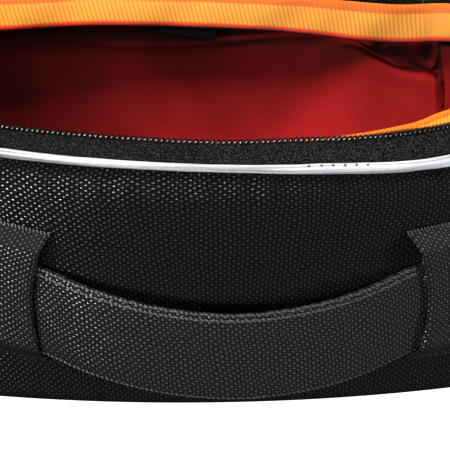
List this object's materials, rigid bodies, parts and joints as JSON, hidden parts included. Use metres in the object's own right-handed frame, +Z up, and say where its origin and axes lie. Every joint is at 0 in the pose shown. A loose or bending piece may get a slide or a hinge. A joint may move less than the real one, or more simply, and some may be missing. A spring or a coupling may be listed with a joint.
{
  "type": "motorcycle tank bag",
  "caption": "Small open tank bag: rounded tub of black woven nylon with a padded grab handle, reflective piping, a zip round three sides, a slack red lining and a domed lid on a cloth hinge.",
  "frame": {"origin": "middle of the flat base, on the surface that the bag stands on", "axes": "+Z up, -Y towards the side with the grab handle, +X to the right seen from that side"},
  "size_m": [0.244, 0.3025, 0.3321],
  "materials": {
    "ballistic_nylon": "coarse plain weave, low sheen",
    "handle_webbing": "coarse plain weave over padding",
    "reflective_tape": "smooth silver-white reflective cloth",
    "zip_tape": "fine matt woven tape",
    "zip_coil": "glossy moulded nylon coil",
    "grosgrain_binding": "ribbed orange grosgrain",
    "red_lining": "fine woven polyester, soft sheen",
    "label_cloth": "plain matt woven tape",
    "black_metal": "black lacquer"
  },
  "bodies": {
    "root": {"wall_panel": "ballistic_nylon", "base_panel": "ballistic_nylon", "lid_gusset": "ballistic_nylon", "lid_top": "ballistic_nylon", "handle_strap": "handle_webbing", "handle_tab_left": "handle_webbing", "handle_tab_right": "handle_webbing", "reflective_piping": "reflective_tape", "zip_tape_body": "zip_tape", "zip_tape_lid": "zip_tape", "hinge_strip": "zip_tape", "zip_coil_body": "zip_coil", "zip_coil_lid": "zip_coil", "seam_binding": "grosgrain_binding", "lid_binding": "grosgrain_binding", "lining": "red_lining", "inner_label": "label_cloth", "zip_slider": "black_metal"}
  },
  "joints": []
}
